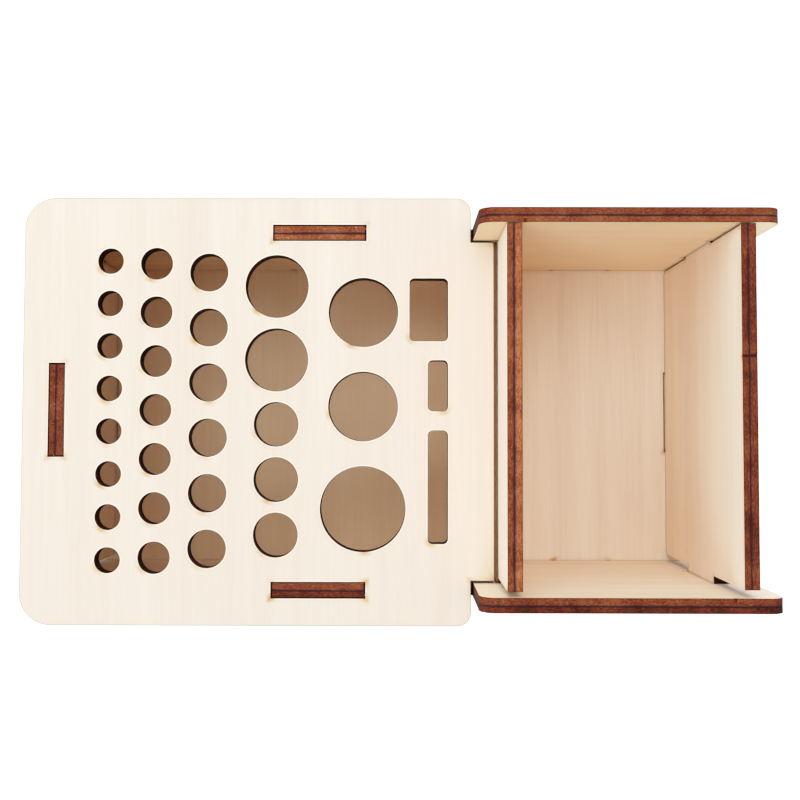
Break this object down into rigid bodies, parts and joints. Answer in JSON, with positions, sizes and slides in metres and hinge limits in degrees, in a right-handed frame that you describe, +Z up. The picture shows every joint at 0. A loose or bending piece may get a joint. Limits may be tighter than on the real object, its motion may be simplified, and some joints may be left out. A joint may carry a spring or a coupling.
{
  "type": "tool storage caddy",
  "caption": "Knock-down plywood desk caddy for hobby tools: a plate with round holes and flat slots over a low bay, and an open box beside it, joined by tabs and slots.",
  "frame": {"origin": "middle of the bounding box on the table", "axes": "+X along the length towards the open box, +Y to the rear, +Z up"},
  "size_m": [0.2328, 0.1366, 0.091],
  "materials": {
    "plywood": "bare basswood plywood, laser-cut edges left burnt"
  },
  "bodies": {
    "root": {"rack_plate": "plywood", "front_panel": "plywood", "rear_panel": "plywood", "left_end_panel": "plywood", "divider_panel": "plywood", "right_end_panel": "plywood", "base_panel": "plywood"}
  },
  "joints": []
}
